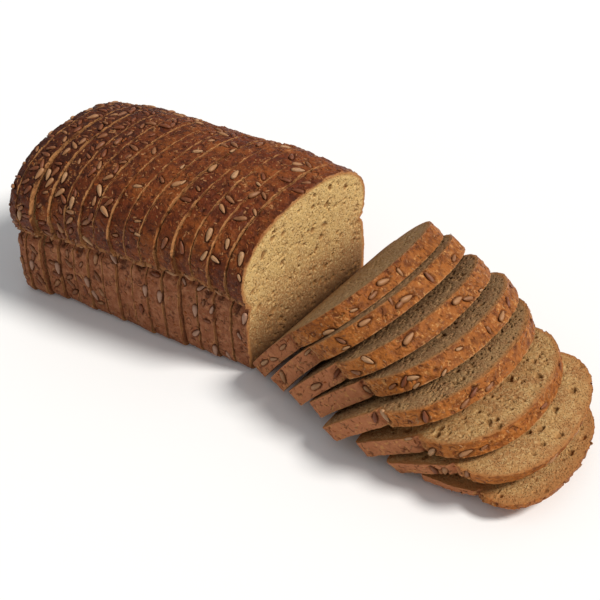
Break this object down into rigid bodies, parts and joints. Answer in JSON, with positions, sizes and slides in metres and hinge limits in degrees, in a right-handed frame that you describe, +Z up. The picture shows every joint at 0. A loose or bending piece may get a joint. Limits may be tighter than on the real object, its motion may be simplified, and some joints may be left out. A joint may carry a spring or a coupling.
{
  "type": "sliced whole wheat bread loaf",
  "caption": "Tin loaf of seeded whole wheat bread cut into even slices, part standing as a block with its rounded heel, the rest toppled over in an overlapping row.",
  "frame": {"origin": "middle of the whole loaf's footprint, on the surface it lies on", "axes": "+X along the loaf from the standing block's heel to the toppled slices, +Y across the loaf, +Z up"},
  "size_m": [0.3718, 0.1438, 0.1005],
  "materials": {
    "crust": "baked brown bread crust, dull with a faint sheen on the dome",
    "crumb": "soft porous whole wheat crumb, fully matt",
    "seed": "hulled sunflower kernels, greyish beige, some toasted dark, faint sheen"
  },
  "bodies": {
    "root": {"standing_slice_01": "crust", "standing_slice_02": "crust", "standing_slice_03": "crust", "standing_slice_04": "crust", "standing_slice_05": "crust", "standing_slice_06": "crust", "standing_slice_07": "crust", "standing_slice_08": "crust", "standing_slice_09": "crust", "standing_slice_10": "crust", "standing_slice_11": "crust", "standing_slice_12": "crust", "standing_slice_13": "crust", "standing_slice_14": "crust", "standing_slice_15": "crust", "fallen_slice_01": "crumb", "fallen_slice_02": "crumb", "fallen_slice_03": "crumb", "fallen_slice_04": "crumb", "fallen_slice_05": "crumb", "fallen_slice_06": "crumb", "fallen_slice_07": "crumb", "fallen_heel": "crust"}
  },
  "joints": []
}
